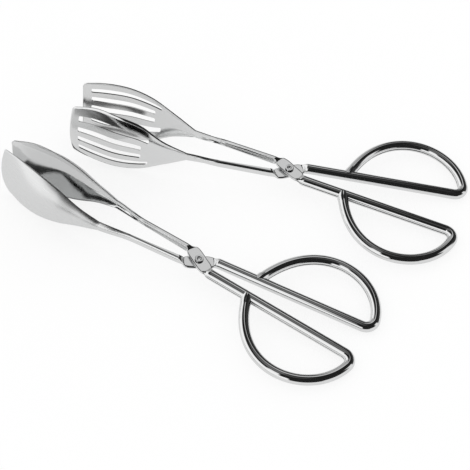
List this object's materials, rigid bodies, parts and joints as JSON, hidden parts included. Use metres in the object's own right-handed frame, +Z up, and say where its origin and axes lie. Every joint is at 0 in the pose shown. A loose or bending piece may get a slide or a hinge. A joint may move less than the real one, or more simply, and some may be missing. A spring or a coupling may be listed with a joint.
{
  "type": "salad servers",
  "caption": "Scissor serving tongs in polished sheet steel, with spoon heads and with slotted heads, channel shanks, riveted pads and rolled tube finger loops.",
  "frame": {"origin": "on the table, under the middle of the outline of both pairs as they lie together", "axes": "+X along the pairs, from the heads to the finger loops; +Y from the spoon pair to the slotted pair; +Z up"},
  "size_m": [0.2832, 0.209, 0.0501],
  "materials": {
    "polished_steel": "polished stainless steel, mirror bright on shanks and handles, satin in the heads",
    "rivet_steel": "polished"
  },
  "bodies": {
    "spoon_lower": {"spoon_arm_lower": "polished_steel", "spoon_pivot_rivet": "rivet_steel"},
    "spoon_upper": {"spoon_arm_upper": "polished_steel"},
    "slotted_lower": {"slotted_arm_lower": "polished_steel", "slotted_pivot_rivet": "rivet_steel"},
    "slotted_upper": {"slotted_arm_upper": "polished_steel"}
  },
  "joints": [
    {"name": "spoon_hinge", "type": "hinge", "parent": "spoon_lower", "child": "spoon_upper", "pos_m": [0.00002, -0.04651, 0.01276], "axis": [0.0833, -0.0108, 0.9965], "range_deg": [-12, 2.5]},
    {"name": "slotted_lift", "type": "slide", "parent": "spoon_lower", "child": "slotted_lower", "axis": [0, 0, 1], "range_m": [0, 0.06]},
    {"name": "slotted_hinge", "type": "hinge", "parent": "slotted_lower", "child": "slotted_upper", "pos_m": [0.02532, 0.04359, 0.0137], "axis": [0.0922, 0.012, 0.9957], "range_deg": [-10, 7.5]}
  ]
}
